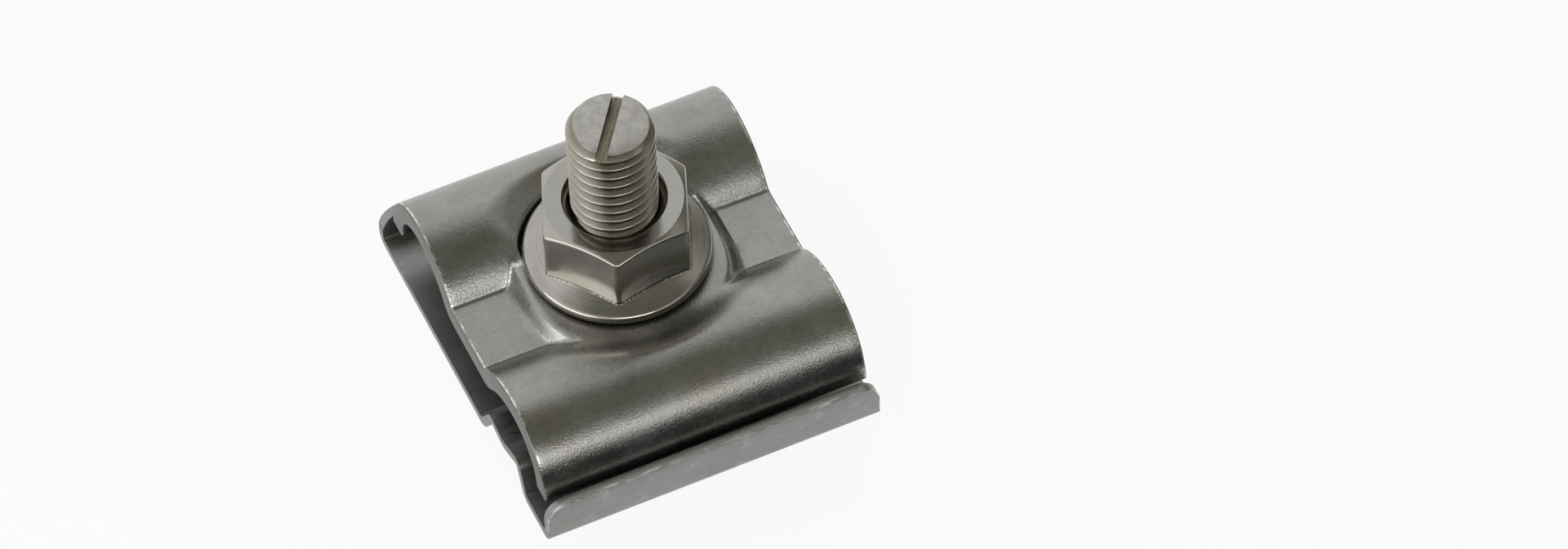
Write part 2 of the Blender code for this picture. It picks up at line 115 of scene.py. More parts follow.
class ClampPlateSizes(PropertyGroup):
    sheet: length("Sheet", 2.5, "Thickness of the pressed sheet")
    rear_y: length("Rear lobe centre", 10.8, "Place of the rear lobe's top")
    rear_radius: length("Rear lobe radius", 8.2, "Outer radius on the far side of the rear lobe")
    rear_slope: length("Rear slope radius", 10.0, "Outer radius on the bolt's side of the rear lobe")
    rear_rise: length("Rear lobe rise", 4.9, "Height of the rear lobe above the valley")
    rear_drop: length("Rear leg drop", 3.4, "Reach of the rear leg below the valley")
    front_y: length("Front lobe centre", -15.4, "Place of the front lobe's top")
    front_radius: length("Front lobe radius", 8.0, "Outer radius on the far side of the front lobe")
    front_slope: length("Front slope radius", 11.5, "Outer radius on the bolt's side of the front lobe")
    front_rise: length("Front lobe rise", 3.8, "Height of the front lobe above the valley")
    front_drop: length("Front leg drop", 4.4, "Reach of the front leg below the valley")
    crease: length("Valley crease", 0.7, "Radius of the bend between the valley and a lobe")
    seat_rise: length("Seat rise", 2.2, "Height of the nut's pressed seat above the valley")
    seat_radius: length("Seat radius", 11.05, "Radius of the flat top of the seat")
    seat_flank: length("Seat flank", 1.8, "Width of the slope from the seat down to the valley")
    seat_blend: length("Seat blend", 0.5, "Softness of the crease between the seat and a lobe")
    rear_margin: length("Rear margin", 0.3, "Tightness of the recess in the rear lobe")
    rear_flank: length("Rear flank", 0.5, "Width of the step from the seat up to the rear lobe")
    rear_step: length("Rear step", 0.9, "Height of that step")
    rear_dish: amount("Rear dish", 0.5, "Slope from the step up to the rear lobe, rise over run")
    front_flank: length("Front flank", 5.0, "Width of the slope from the seat up to the front lobe")
    edge: length("Edge", 0.32, "Rounding of the sheet's cut edges")
    hole: length("Hole", 11.05, "Diameter of the bolt's hole")


class ClampBoltSizes(PropertyGroup):
    diameter: length("Diameter", 9.85, "Outer diameter of the thread")
    pitch: length("Pitch", 1.5, "Distance between two turns of the thread")
    depth: length("Thread depth", 0.9, "How deep the thread is cut")
    crest: length("Thread crest", 0.22, "Width of the flat crest of the thread")
    flank: angle("Thread flank", 30.0, "Slope of the thread's flanks")
    crest_soft: length("Crest softness", 0.2, "Blend between the crest and the flanks")
    root_soft: length("Root softness", 0.12, "Blend between the flanks and the root")
    plain: length("Plain shank", 3.15, "Plain length between the head and the thread")
    plain_diameter: length("Plain diameter", 9.0, "Diameter of the plain shank")
    point: length("Point chamfer", 0.55, "Chamfer at the end of the thread")
    head_length: length("Head length", 30.5, "Long side of the hammer head")
    head_width: length("Head width", 14.8, "Short side of the hammer head")
    head_height: length("Head height", 5.7, "Thickness of the hammer head")
    head_round: length("Round corner", 7.0, "Radius of the two corners that turn in the rail")
    head_sharp: length("Sharp corner", 0.7, "Radius of the other two corners")
    head_edge: length("Head edge", 0.35, "Rounding of the head's edges")
    slot_width: length("Slot width", 1.28, "Width of the screwdriver slot")
    slot_depth: length("Slot depth", 0.9, "Depth of the screwdriver slot")
    slot_tilt: angle("Slot tilt", 3.0, "Slope of the slot's floor, deeper at its far end")
    slot_rise: length("Slot rise", 0.25, "Lift of the slot's floor in its middle")
    turn: angle("Turn", 54.0, "Direction of the slot and the head, from X")
    sides: number("Sides", 96, "Faces round the thread")
    rows: number("Rows", 24, "Faces across one turn of the thread")


class ClampNutSizes(PropertyGroup):
    flats: length("Across flats", 16.0, "Distance between two flats of the hexagon")
    flange: length("Flange", 21.2, "Diameter of the flange")
    rim: length("Rim", 1.5, "Thickness of the flange at its rim")
    rim_round: length("Rim rounding", 0.65, "Rounding of the rim, above and below")
    slope_top: length("Slope top", 2.75, "Height of the flange's slope inside the hexagon")
    bore: length("Bore", 10.4, "Diameter of the hole")
    sink: length("Countersink", 0.6, "Depth of the countersinks")
    chamfer: angle("Chamfer", 30.0, "Slope of the chamfer on top of the hexagon")
    corner: length("Corner", 0.12, "Rounding of the hexagon's corners")
    soft: length("Softness", 0.5, "Rounding between the hexagon, its chamfer and the flange")
    blank: length("Blank", 9.6, "Radius of the turned blank above the flange")
    top_circle: amount("Top circle", 0.96, "Size of the chamfer's circle on top, over the flats")
    slope_start: amount("Slope start", 0.9, "Radius at which that slope has this height, over the flats")
    turn: angle("Turn", 7.5, "Direction of the hexagon's corner, from X")
    sides: number("Sides", 240, "Faces round the nut")


class ClampFinish(PropertyGroup):
    sheet_colour: colour("Folded sheet", (0.285, 0.285, 0.28), "Colour of the base plate's steel")
    press_colour: colour("Pressed sheet", (0.305, 0.304, 0.293), "Colour of the clamping plate's steel")
    bolt_colour: colour("Bolt", (0.375, 0.362, 0.318), "Colour of the bolt's steel")
    nut_colour: colour("Nut", (0.38, 0.372, 0.348), "Colour of the nut's steel")
    sheet_roughness: amount("Sheet roughness", 0.38, "Roughness of the rolled sheet")
    press_roughness: amount("Press roughness", 0.27, "Roughness of the pressed sheet")
    bolt_roughness: amount("Bolt roughness", 0.20, "Roughness of the thread")
    nut_roughness: amount("Nut roughness", 0.20, "Roughness of the turned faces")


class ClampStage(PropertyGroup):
    azimuth: angle("Azimuth", 23.0, "How far the camera looks to the right of +Y")
    elevation: angle("Elevation", 52.5, "How far the camera looks down")
    roll: angle("Roll", 2.2, "How far the camera is rolled")
    distance: length("Distance", 905.0, "From the nut's seat to the camera")
    lens: FloatProperty(name="Lens", description="Focal length in millimetres", default=187.5)
    shift_right: length("Shift right", 18.41, "Camera's place to the right of the nut's seat")
    shift_up: length("Shift up", -2.71, "Camera's place above the nut's seat, in the picture")
    floor: colour("Floor", (0.95, 0.95, 0.95), "Colour of the floor")


def joined(operation, reflected=False):
    """A method that joins a wire and another value by a Math node."""

    def method(self, other):
        return self.net.math(operation, *((other, self) if reflected else (self, other)))

    return method


class Wire:
    """An output of a node, on which Python's arithmetic adds Math nodes."""

    def __init__(self, net, socket):
        self.net = net
        self.socket = socket

    __add__, __radd__ = joined("ADD"), joined("ADD", True)
    __sub__, __rsub__ = joined("SUBTRACT"), joined("SUBTRACT", True)
    __mul__, __rmul__ = joined("MULTIPLY"), joined("MULTIPLY", True)
    __truediv__, __rtruediv__ = joined("DIVIDE"), joined("DIVIDE", True)

    def __abs__(self):
        return self.net.math("ABSOLUTE", self)


class Net:
    """Adds nodes to a tree, for materials, for the world and for Geometry Nodes."""

    def __init__(self, tree):
        self.tree = tree
        tree.nodes.clear()

    def node(self, kind, sockets=None, output=0, **settings):
        """One node: its settings first, then the values or links of its sockets."""
        made = self.tree.nodes.new(kind)
        for name, value in settings.items():
            setattr(made, name, value)
        for key, value in (sockets or {}).items():
            self.feed(made.inputs[key], value)
        return Wire(self, made.outputs[output]) if made.outputs else made

    def feed(self, socket, value):
        if isinstance(value, Wire):
            self.tree.links.new(value.socket, socket)
        else:
            socket.default_value = value

    def math(self, operation, *values, clamp=False):
        return self.node("ShaderNodeMath", dict(enumerate(values)), operation=operation, use_clamp=clamp)

    def split(self, vector):
        parts = self.node("ShaderNodeSeparateXYZ", {0: vector}).socket.node
        return [Wire(self, out) for out in parts.outputs]

    def join(self, x, y, z):
        return self.node("ShaderNodeCombineXYZ", {0: x, 1: y, 2: z})

    def between(self, value, low, high):
        """0 at low, 1 at high, straight between them."""
        return self.math("DIVIDE", value - low, high - low, clamp=True)

    def mix(self, factor, first, second):
        """A blend of two colours."""
        return self.node("ShaderNodeMix", {0: factor, 6: first, 7: second}, output=2, data_type="RGBA")

    def away(self, first, second):
        """The distance from the place where both values are 0."""
        return self.math("SQRT", first * first + second * second)

    def noise(self, vector, scale, detail=2.0, roughness=0.5):
        """Noise with one scale, or with a scale of its own for each direction."""
        if isinstance(scale, tuple):
            vector, scale = self.node("ShaderNodeMapping", {"Vector": vector, "Scale": scale}), 1.0
        sockets = {"Vector": vector, "Scale": scale, "Detail": detail, "Roughness": roughness}
        return self.node("ShaderNodeTexNoise", sockets)

    def bump(self, height, distance, strength, normal=None):
        sockets = {"Height": height, "Distance": distance, "Strength": strength}
        if normal is not None:
            sockets["Normal"] = normal
        return self.node("ShaderNodeBump", sockets)


def arc(centre, radius, start, end, outward=1.0, step=0.3 * MM):
    """Points with unit normals along an arc in a section's plane, from one angle to another."""
    count = max(3, math.ceil(abs(end - start) * radius / step))
    points = []
    for index in range(count + 1):
        turn = start + (end - start) * index / count
        normal = (math.cos(turn), math.sin(turn))
        place = (centre[0] + radius * normal[0], centre[1] + radius * normal[1])
        points.append((place, (outward * normal[0], outward * normal[1])))
    return points


def straight(start, end, step):
    """Points with unit normals on the right side of a straight stretch, without its ends."""
    across, rise = end[0] - start[0], end[1] - start[1]
    run = math.hypot(across, rise)
    count = max(1, math.ceil(run / step))
    points = []
    for index in range(1, count):
        place = (start[0] + across * index / count, start[1] + rise * index / count)
        points.append((place, (rise / run, -across / run)))
    return points


def bent_path(corners, step, bend_step):
    """The places along a path through corners of (y, z, bend radius), with a radius of 0 at both ends."""
    path = []
    ways = [math.atan2(after[1] - z, after[0] - y) for (y, z, _), after in zip(corners, corners[1:])]
    for (y, z, radius), way_in, way_out in zip(corners, ways[:1] + ways, ways + ways[-1:]):
        bend = [(y, z)]
        if radius > 0.0:
            turn = (way_out - way_in + math.pi) % math.tau - math.pi
            side = math.copysign(radius, turn)
            reach = radius * math.tan(abs(turn) / 2)
            start = (y - reach * math.cos(way_in), z - reach * math.sin(way_in))
            centre = (start[0] - side * math.sin(way_in), start[1] + side * math.cos(way_in))
            first = way_in - math.copysign(math.pi / 2, turn)
            bend = [place for place, _ in arc(centre, radius, first, first + turn, step=bend_step)]
        if path:
            path += [place for place, _ in straight(path[-1], bend[0], step)]
        path += bend
    return path


def even(low, high, step):
    """Even steps from low to high."""
    count = max(1, math.ceil((high - low) / step))
    return [low + (high - low) * index / count for index in range(count + 1)]


def new_object(name, shape):
    """An object of a bmesh."""
    mesh = bpy.data.meshes.new(name)
    shape.to_mesh(mesh)
    shape.free()
    obj = bpy.data.objects.new(name, mesh)
    bpy.context.scene.collection.objects.link(obj)
    return obj


def turned(name, profile, sides, ring=False):
    """A solid turned round the bolt's axis from (radius, height), where the axis or a ring closes it."""
    shape = bmesh.new()
    verts = [shape.verts.new((radius, 0.0, z)) for radius, z in profile]
    after = verts[1:] + verts[:1] if ring else verts[1:]
    edges = [shape.edges.new(pair) for pair in zip(verts, after)]
    spin = {"axis": (0.0, 0.0, 1.0), "cent": (0.0, 0.0, 0.0), "angle": math.tau, "use_merge": True}
    bmesh.ops.spin(shape, geom=verts + edges, steps=sides, **spin)
    clean(shape)
    return new_object(name, shape)


def clean(shape):
    """Joins points that share a place and turns all faces outward."""
    bmesh.ops.remove_doubles(shape, verts=shape.verts, dist=0.001 * MM)
    bmesh.ops.recalc_face_normals(shape, faces=shape.faces)


def surface(name, rows, ring=False):
    """Rows of places joined by faces; as a ring, each row is closed and both ends are filled."""
    shape = bmesh.new()
    rows = [[shape.verts.new(place) for place in row] for row in rows]
    for row, after in zip(rows, rows[1:]):
        for index in range(0 if ring else 1, len(row)):
            shape.faces.new((row[index - 1], row[index], after[index], after[index - 1]))
    if ring:
        shape.faces.new(rows[0])
        shape.faces.new(rows[-1])
        bmesh.ops.recalc_face_normals(shape, faces=shape.faces)
    return new_object(name, shape)


def apply_modifiers(obj):
    """Replaces the object's mesh by what its modifiers make of it."""
    graph = bpy.context.evaluated_depsgraph_get()
    mesh = bpy.data.meshes.new_from_object(obj.evaluated_get(graph))
    obj.modifiers.clear()
    obj.data = mesh


def thicken(obj, thickness, edge):
    """Gives a sheet its thickness, half on each side, and rounds its cut edges."""
    wall = obj.modifiers.new("wall", "SOLIDIFY")
    wall.thickness = thickness
    wall.offset = 0.0
    wall.use_even_offset = False
    round_edges(obj, edge)
    apply_modifiers(obj)


def round_edges(obj, width, segments=3, limit=math.radians(55.0)):
    bevel = obj.modifiers.new("edge", "BEVEL")
    bevel.width = width
    bevel.segments = segments
    bevel.limit_method = "ANGLE"
    bevel.angle_limit = limit


def combine(obj, operation, other):
    """Cuts another solid out of the object or joins it on, and removes the other one."""
    modifier = obj.modifiers.new(operation.lower(), "BOOLEAN")
    modifier.operation = operation
    modifier.solver = "EXACT"
    modifier.object = other
    apply_modifiers(obj)
    bpy.data.objects.remove(other, do_unlink=True)


def bolt_hole(obj, radius, low, high):
    bpy.ops.mesh.primitive_cylinder_add(
        vertices=72, radius=radius, depth=high - low, location=(0.0, 0.0, (low + high) / 2)
    )
    combine(obj, "DIFFERENCE", bpy.context.object)


def finish_piece(obj, node, body, material, crease=math.radians(35.0)):
    """Settles a piece: its mesh in place, smooth up to a crease, its finish, and the body that carries it."""
    obj.data.transform(obj.matrix_world)
    obj.matrix_world = Matrix()
    shape = bmesh.new()
    shape.from_mesh(obj.data)
    clean(shape)
    shape.to_mesh(obj.data)
    shape.free()
    obj.data.materials.clear()
    obj.data.materials.append(material)
    obj.data.shade_smooth()
    obj.data.set_sharp_from_angle(angle=crease)
    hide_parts(node)
    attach(obj, body)


def empty_material(name):
    material = bpy.data.materials.new(name)
    material.use_nodes = True
    return material, Net(material.node_tree)


def new_material(name):
    """A steel: its net of nodes, its shader node and its place on the piece."""
    material, net = empty_material(name)
    place = net.node("ShaderNodeTexCoord", output=3)
    shader = net.tree.nodes.new("ShaderNodeBsdfPrincipled")
    shader.inputs["Metallic"].default_value = 1.0
    net.node("ShaderNodeOutputMaterial", {"Surface": Wire(net, shader.outputs[0])})
    return material, net, shader, place


def shade(colour_value, factor, warm=0.0):
    """A lighter or darker shade of a colour, and a warmer one, for a shader's socket."""
    tint = (1.0 + 0.5 * warm, 1.0, 1.0 - warm)
    return tuple(min(1.0, factor * part * by) for part, by in zip(colour_value, tint)) + (1.0,)


def mottled(net, tone, spread, colour_value, dark, light, warm):
    """A darker and warmer shade where the tone is low, a lighter one where it is high; its middle is 0.5."""
    factor = net.between(tone, 0.5 - spread, 0.5 + spread)
    return net.mix(factor, shade(colour_value, dark, warm), shade(colour_value, light))


def feed_shader(net, shader, base, rough, normal):
    for name, value in (("Base Color", base), ("Roughness", rough), ("Normal", normal)):
        net.feed(shader.inputs[name], value)


def shaded_cut_end(net, x, half):
    """Mask of painted shade on a sheet's sheared ends along X: 1 on the end faces, 0 from where their edges are
    rounded.
    """
    return 0.9 * net.between(abs(x), half - 0.14 * MM, half - 0.04 * MM)


def rolled_sheet(finish, lip, corner):
    """The folded sheet: satin, with faint rolling lines along X, scuffs, painted shade on the sheared ends, and
    wear with painted highlights on the front lip's edge.
    """
    material, net, shader, place = new_material("rolled_sheet")
    steel = finish.sheet_colour
    cloud = net.noise(place, 170.0, 4.0, 0.6)
    grain = net.noise(place, 3800.0, 2.0, 0.6)
    lines = net.noise(place, (90.0, 2600.0, 2600.0), 2.0, 0.55)
    scuff = net.between(net.noise(place, (420.0, 900.0, 420.0), 4.0, 0.7), 0.56, 0.70)
    tone = 0.45 * cloud + 0.25 * lines + 0.3 * grain
    base = mottled(net, tone, 0.14, steel, 0.84, 1.14, 0.03)
    base = net.mix(scuff * 0.5, base, shade(steel, 1.35))
    x, y, z = net.split(place)
    # Painted shade: the sheared end faces are drawn darker.
    cut = shaded_cut_end(net, x, BASE_HIGH.x)
    base = net.mix(cut, base, shade(steel, 0.60, 0.03))
    # Wear and painted highlight: the front lip's outer top edge and its rounded corners are drawn far lighter,
    # in broken dashes.
    side = net.math("MAXIMUM", abs(x) - (BASE_HIGH.x - corner), 0.0)
    rise = net.math("MAXIMUM", z - (BASE_LOW.z + lip - corner), 0.0)
    rim = net.away(side, rise)
    wear_and_glint = 0.55 * net.between(rim, corner - 0.19 * MM, corner - 0.05 * MM)
    wear_and_glint = wear_and_glint * net.between(y, BASE_LOW.y + 0.45 * MM, BASE_LOW.y + 0.30 * MM)
    dashes = net.noise(place, (420.0, 1500.0, 1500.0), 3.0, 0.6)
    wear_and_glint = wear_and_glint * net.between(dashes, 0.46, 0.62)
    base = net.mix(wear_and_glint, base, shade(steel, 2.8))
    rough = finish.sheet_roughness + 0.16 * (cloud - 0.5) + 0.10 * (lines - 0.5) - 0.08 * scuff - 0.1 * wear_and_glint
    fine = net.bump(grain, 0.03 * MM, 0.35)
    feed_shader(net, shader, base, rough, net.bump(lines, 0.02 * MM, 0.35, fine))
    return material


def pressed_sheet(finish):
    """The pressed plate: a fine grain that sparkles, press marks beside the seat with a painted highlight,
    painted highlights along the edges of its sheared ends, and painted shade on those ends.
    """
    material, net, shader, place = new_material("pressed_sheet")
    steel = finish.press_colour
    x, y, _ = net.split(place)
    cloud = net.noise(place, 210.0, 4.0, 0.6)
    patch = net.between(net.noise(place, 95.0, 2.0, 0.5), 0.50, 0.66)
    grain = net.noise(place, 4300.0, 2.0, 0.7)
    coarse = net.noise(place, 1300.0, 3.0, 0.6)
    tone = 0.40 * cloud + 0.25 * coarse + 0.35 * grain
    base = mottled(net, tone, 0.12, steel, 0.84, 1.16, 0.03)
    base = net.mix(patch * 0.3, base, shade(steel, 1.0, 0.16))
    # Press marks with a painted highlight: a strip beside the seat, where the rear lobe meets it, drawn more
    # than twice as light and a little smoother.
    along = abs(x) - 10.5 * MM
    across = abs(y - 3.4 * MM + 0.45 * along)
    press_mark_highlight = net.between(across, 0.9 * MM, 0.2 * MM) * net.between(abs(along), 2.8 * MM, 1.0 * MM)
    press_mark_highlight = press_mark_highlight * net.between(net.noise(place, 2600.0, 3.0, 0.7), 0.46, 0.58)
    base = net.mix(press_mark_highlight, base, shade(steel, 2.2))
    cut = shaded_cut_end(net, x, PLATE_HIGH.x)
    # Painted highlight: a thin broken line along the outer rounded edge of each sheared end, drawn much
    # lighter.
    end = abs(x) - PLATE_HIGH.x
    edge_highlight = net.between(end, -0.40 * MM, -0.30 * MM) * net.between(end, -0.12 * MM, -0.20 * MM)
    edge_highlight = edge_highlight * net.between(net.noise(place, 900.0, 3.0, 0.7), 0.44, 0.60)
    base = net.mix(edge_highlight, base, shade(steel, 2.6))
    # Painted shade: the sheared end faces are drawn darker.
    base = net.mix(cut, base, shade(steel, 0.42, 0.04))
    rough = finish.press_roughness + 0.12 * (cloud - 0.5) + 0.08 * (coarse - 0.5) - 0.08 * press_mark_highlight + 0.15 * cut
    feed_shader(net, shader, base, rough, net.bump(grain, 0.06 * MM, 0.55))
    return material


def threaded_steel(finish, sizes):
    """The bolt: painted highlights on the crests, painted shade in the roots and the slot, and a matt sawn end
    painted lighter.
    """
    material, net, shader, place = new_material("threaded_steel")
    steel = finish.bolt_colour
    x, y, z = net.split(place)
    radius = net.away(x, y)
    outer = sizes.diameter / 2
    crest = net.between(radius, outer - 0.12 * MM, outer - 0.02 * MM)
    root = net.between(radius, outer - 0.15 * MM, outer - 0.7 * sizes.depth)
    head = net.between(z, sizes.head_height + 0.2 * MM, sizes.head_height - 0.1 * MM)
    end = net.between(z, BOLT_HIGH.z - 0.06 * MM, BOLT_HIGH.z - 0.02 * MM)
    low = net.between(z, BOLT_HIGH.z - 0.12 * MM, BOLT_HIGH.z - 0.35 * MM)
    along = x * math.cos(sizes.turn) + y * math.sin(sizes.turn)
    across = y * math.cos(sizes.turn) - x * math.sin(sizes.turn)
    sawn = net.between(abs(across), 0.52 * sizes.slot_width, 0.5 * sizes.slot_width)
    sawn = sawn * low * net.between(z, BOLT_HIGH.z - 1.1 * sizes.slot_depth, BOLT_HIGH.z - sizes.slot_depth)
    shank = (1.0 - head) * (1.0 - end)
    cloud = net.noise(place, 320.0, 4.0, 0.6)
    mottle = net.noise(place, 900.0, 5.0, 0.7)
    grain = net.noise(place, 4000.0, 2.0, 0.6)
    base = mottled(net, 0.5 * cloud + 0.5 * mottle, 0.14, steel, 0.84, 1.12, 0.05)
    # Painted shade in the thread's roots and a painted highlight on its crests.
    base = net.mix(root * shank * 0.9, base, shade(steel, 0.58, 0.10))
    base = net.mix(crest * shank * 0.8, base, shade(steel, 1.15))
    # Painted light: the sawn end face is drawn in a lighter, mottled tone.
    face = mottled(net, mottle, 0.2, finish.nut_colour, 0.80, 1.26, 0.04)
    base = net.mix(end, base, face)
    # Painted shade in the slot: its faces are drawn dark and brownish, streaked along the cut.
    streaks = net.noise(net.join(along * 300.0, across * 5200.0, 0.0), 1.0, 2.0, 0.6)
    groove = net.mix(
        net.between(streaks, 0.42, 0.62),
        shade(steel, 0.40, 0.16),
        shade(steel, 0.72, 0.16),
    )
    base = net.mix(sawn, base, groove)
    scale = head * 0.6 * net.between(mottle, 0.42, 0.6)
    base = net.mix(scale, base, shade(steel, 0.72, 0.12))
    rough = finish.bolt_roughness + 0.12 * (cloud - 0.5) + 0.26 * head
    rough = rough + 0.12 * end + 0.3 * sawn - 0.05 * crest
    fine = net.bump(grain, 0.03 * MM, 0.4)
    feed_shader(net, shader, base, rough, net.bump(mottle, 0.08 * MM, 0.08 + 0.7 * head, fine))
    return material


def turned_steel(finish, sizes, seat_z):
    """The nut: turned rings on the flange and the top, drawn flats, small dents, and painted shade on the top
    face.
    """
    material, net, shader, place = new_material("turned_steel")
    x, y, z = net.split(place)
    radius = net.away(x, y)
    height = z - seat_z
    rings = net.noise(net.join(radius * 5200.0, height * 700.0, 0.0), 1.0, 2.0, 0.6)
    drawn = net.noise(place, (2400.0, 2400.0, 160.0), 2.0, 0.6)
    cloud = net.noise(place, 260.0, 4.0, 0.6)
    flange = net.between(height, sizes.slope_top, sizes.slope_top - 0.4 * MM)
    marks = rings * flange + drawn * (1.0 - flange)
    base = mottled(net, 0.55 * cloud + 0.45 * marks, 0.14, finish.nut_colour, 0.84, 1.14, 0.05)
    flats = net.between(radius, sizes.flats / 2 - 0.12 * MM, sizes.flats / 2) * (1.0 - flange)
    base = net.mix(flats * 0.9, base, shade(finish.nut_colour, 1.06, 0.03))
    # Painted shade: the nut's top face is drawn a little darker.
    top = net.between(z, NUT_HIGH.z - 0.1 * MM, NUT_HIGH.z - 0.02 * MM)
    base = net.mix(top * 0.8, base, shade(finish.nut_colour, 0.90))
    rough = finish.nut_roughness + 0.14 * (cloud - 0.5) + 0.12 * (marks - 0.5) - 0.04 * flange - 0.05 * top
    dents = net.bump(cloud, 0.12 * MM, 0.25)
    feed_shader(net, shader, base, rough, net.bump(marks, 0.02 * MM, 0.15 + 0.2 * flange, dents))
    return material


def rule_tree(name, sizes):
    """A Geometry Nodes tree with named inputs; returns the tree, its net and the inputs."""
    tree = bpy.data.node_groups.new(name, "GeometryNodeTree")
    tree.interface.new_socket("Geometry", in_out="INPUT", socket_type="NodeSocketGeometry")
    for label, value in sizes.items():
        socket = tree.interface.new_socket(label, in_out="INPUT", socket_type="NodeSocketFloat")
        socket.default_value = value
    tree.interface.new_socket("Material", in_out="INPUT", socket_type="NodeSocketMaterial")
    tree.interface.new_socket("Geometry", in_out="OUTPUT", socket_type="NodeSocketGeometry")
    net = Net(tree)
    entry = tree.nodes.new("NodeGroupInput")
    inputs = {out.name: Wire(net, out) for out in entry.outputs if out.name}
    return tree, net, inputs


def close_tree(net, geometry, material):
    """Ends a tree in real geometry with its finish."""
    real = net.node("GeometryNodeRealizeInstances", {"Geometry": geometry})
    dressed = net.node("GeometryNodeSetMaterial", {"Geometry": real, "Material": material})
    net.node("NodeGroupOutput", {"Geometry": dressed})


def run_tree(obj, tree, sizes, material):
    """Runs a tree on an object with its sizes and turns the result into a plain mesh."""
    modifier = obj.modifiers.new(tree.name, "NODES")
    modifier.node_group = tree
    values = {**sizes, "Material": material}
    for item in tree.interface.items_tree:
        if item.in_out == "INPUT" and item.name in values:
            modifier[item.identifier] = values[item.name]
    apply_modifiers(obj)


def thread_tree(sizes):
    """Rolls a flat strip up a helix: its rows give the crest, the flanks and the root of one turn."""
    tree, net, inputs = rule_tree("roll_thread", sizes)
    strip = net.node(
        "GeometryNodeMeshGrid",
        {
            "Size X": 1.0,
            "Size Y": 1.0,
            "Vertices X": net.math("ROUND", inputs["Turns"] * inputs["Sides"] + 1.0),
            "Vertices Y": net.math("ROUND", inputs["Rows"] + 1.0),
        },
    )
    x, y, _ = net.split(net.node("GeometryNodeInputPosition"))
    turn = (x + 0.5) * inputs["Turns"]
    across = abs(y) * inputs["Pitch"]
    fall = (across - inputs["Crest"] / 2.0) / inputs["Flank slope"]
    crest = inputs["Radius"] - net.math("SMOOTH_MAX", fall, 0.0, inputs["Crest softness"])
    root = inputs["Radius"] - inputs["Depth"]
    radius = net.math("SMOOTH_MAX", crest, root, inputs["Root softness"])
    place = net.join(
        net.math("COSINE", turn * math.tau) * radius,
        net.math("SINE", turn * math.tau) * radius,
        inputs["Low"] + inputs["Pitch"] * (turn + y + 0.5),
    )
    rolled = net.node("GeometryNodeSetPosition", {"Geometry": strip, "Position": place})
    closed = net.node("GeometryNodeMergeByDistance", {"Geometry": rolled, "Distance": 0.000005})
    close_tree(net, closed, inputs["Material"])
    return tree


def hexagon_tree(sizes):
    """Mills a turned blank to a hexagon with a chamfered top, above a sloping flange."""
    tree, net, inputs = rule_tree("mill_hexagon", sizes)
    x, y, z = net.split(net.node("GeometryNodeInputPosition"))
    turn = net.math("ARCTAN2", y, x)
    radius = net.away(x, y)
    sixth = math.tau / 6
    share = net.math("FRACT", turn / sixth + 1.0)
    flat = inputs["Half flats"] / net.math("COSINE", (share - 0.5) * sixth)
    flat = net.math("SMOOTH_MIN", flat, inputs["Corner"], 0.08 * MM)
    chamfer = inputs["Top circle"] + (inputs["Height"] - z) / inputs["Chamfer slope"]
    side = net.math("SMOOTH_MIN", flat, chamfer, inputs["Softness"])
    fall = (inputs["Rim radius"] - inputs["Slope radius"]) / (inputs["Slope top"] - inputs["Rim"])
    slope = inputs["Rim radius"] - (z - inputs["Rim"]) * fall
    side = net.math("SMOOTH_MAX", side, slope, 0.6 * inputs["Softness"])
    blank = net.math("COMPARE", radius, inputs["Blank"], 0.00002)
    place = net.join(net.math("COSINE", turn) * side, net.math("SINE", turn) * side, z)
    moved = net.node(
        "GeometryNodeSetPosition",
        {"Geometry": inputs["Geometry"], "Selection": blank, "Position": place},
    )
    close_tree(net, moved, inputs["Material"])
    return tree


class CLAMP_OT_base(Operator):
    """Folds the base plate with its two lips and the grooved saddle between them"""

    bl_idname = "clamp.base_plate"
    bl_label = "Base plate"

    def execute(self, context):
        sizes = context.scene.clamp_base
        gap = 1.0 * MM
        half = sizes.sheet / 2
        rear_y, front_y = BASE_HIGH.y - half, BASE_LOW.y + half
        path = bent_path(
            [
                (rear_y, sizes.rear_lip, 0.0),
                (rear_y, half, sizes.lip_bend),
                (sizes.floor_end, half, sizes.floor_bend),
                (sizes.inner_y, sizes.inner_rib + half, sizes.rib_bend),
                (sizes.saddle_y, sizes.saddle + half, sizes.saddle_bend),
                (sizes.outer_y, sizes.outer_rib + half, sizes.rib_bend),
                (sizes.ridge_y, sizes.ridge + half, sizes.ridge_bend),
                (front_y, sizes.ridge + half, sizes.lip_bend),
                (front_y, sizes.front_lip, 0.0),
            ],
            gap,
            bend_step=0.15 * MM,
        )
        corner = sizes.lip_corner
        start = BASE_HIGH.x - corner
        lips = ((rear_y, sizes.rear_lip), (front_y, sizes.front_lip))
        drawn_part = 1.25

        def place(x, y, z):
            """Rounds the free corners of both lips by drawing the lip's upper part down."""
            past = max(0.0, (abs(x) - start) / corner)
            drop = corner * (1.0 - math.sqrt(max(0.0, 1.0 - past * past)))
            for lip_y, top in lips:
                foot = top - drawn_part * corner
                if abs(y - lip_y) < 0.01 * MM and z > foot:
                    z -= drop * (z - foot) / (top - foot)
            return (x, y, z + BASE_LOW.z)

        ends = [start + corner * math.sin(math.radians(step)) for step in range(0, 91, 9)]
        stations = sorted([-x for x in ends] + even(gap - start, start - gap, gap) + ends)
        rows = [[place(x, y, z) for y, z in path] for x in stations]
        base = surface("base_plate_folded", rows)
        thicken(base, sizes.sheet, sizes.edge)
        bolt_hole(base, sizes.hole / 2, BASE_LOW.z - sizes.sheet, BASE_LOW.z + 2 * sizes.sheet)
        steel = rolled_sheet(context.scene.clamp_finish, sizes.front_lip, corner)
        finish_piece(base, "base_plate", "base", steel)
        return {"FINISHED"}


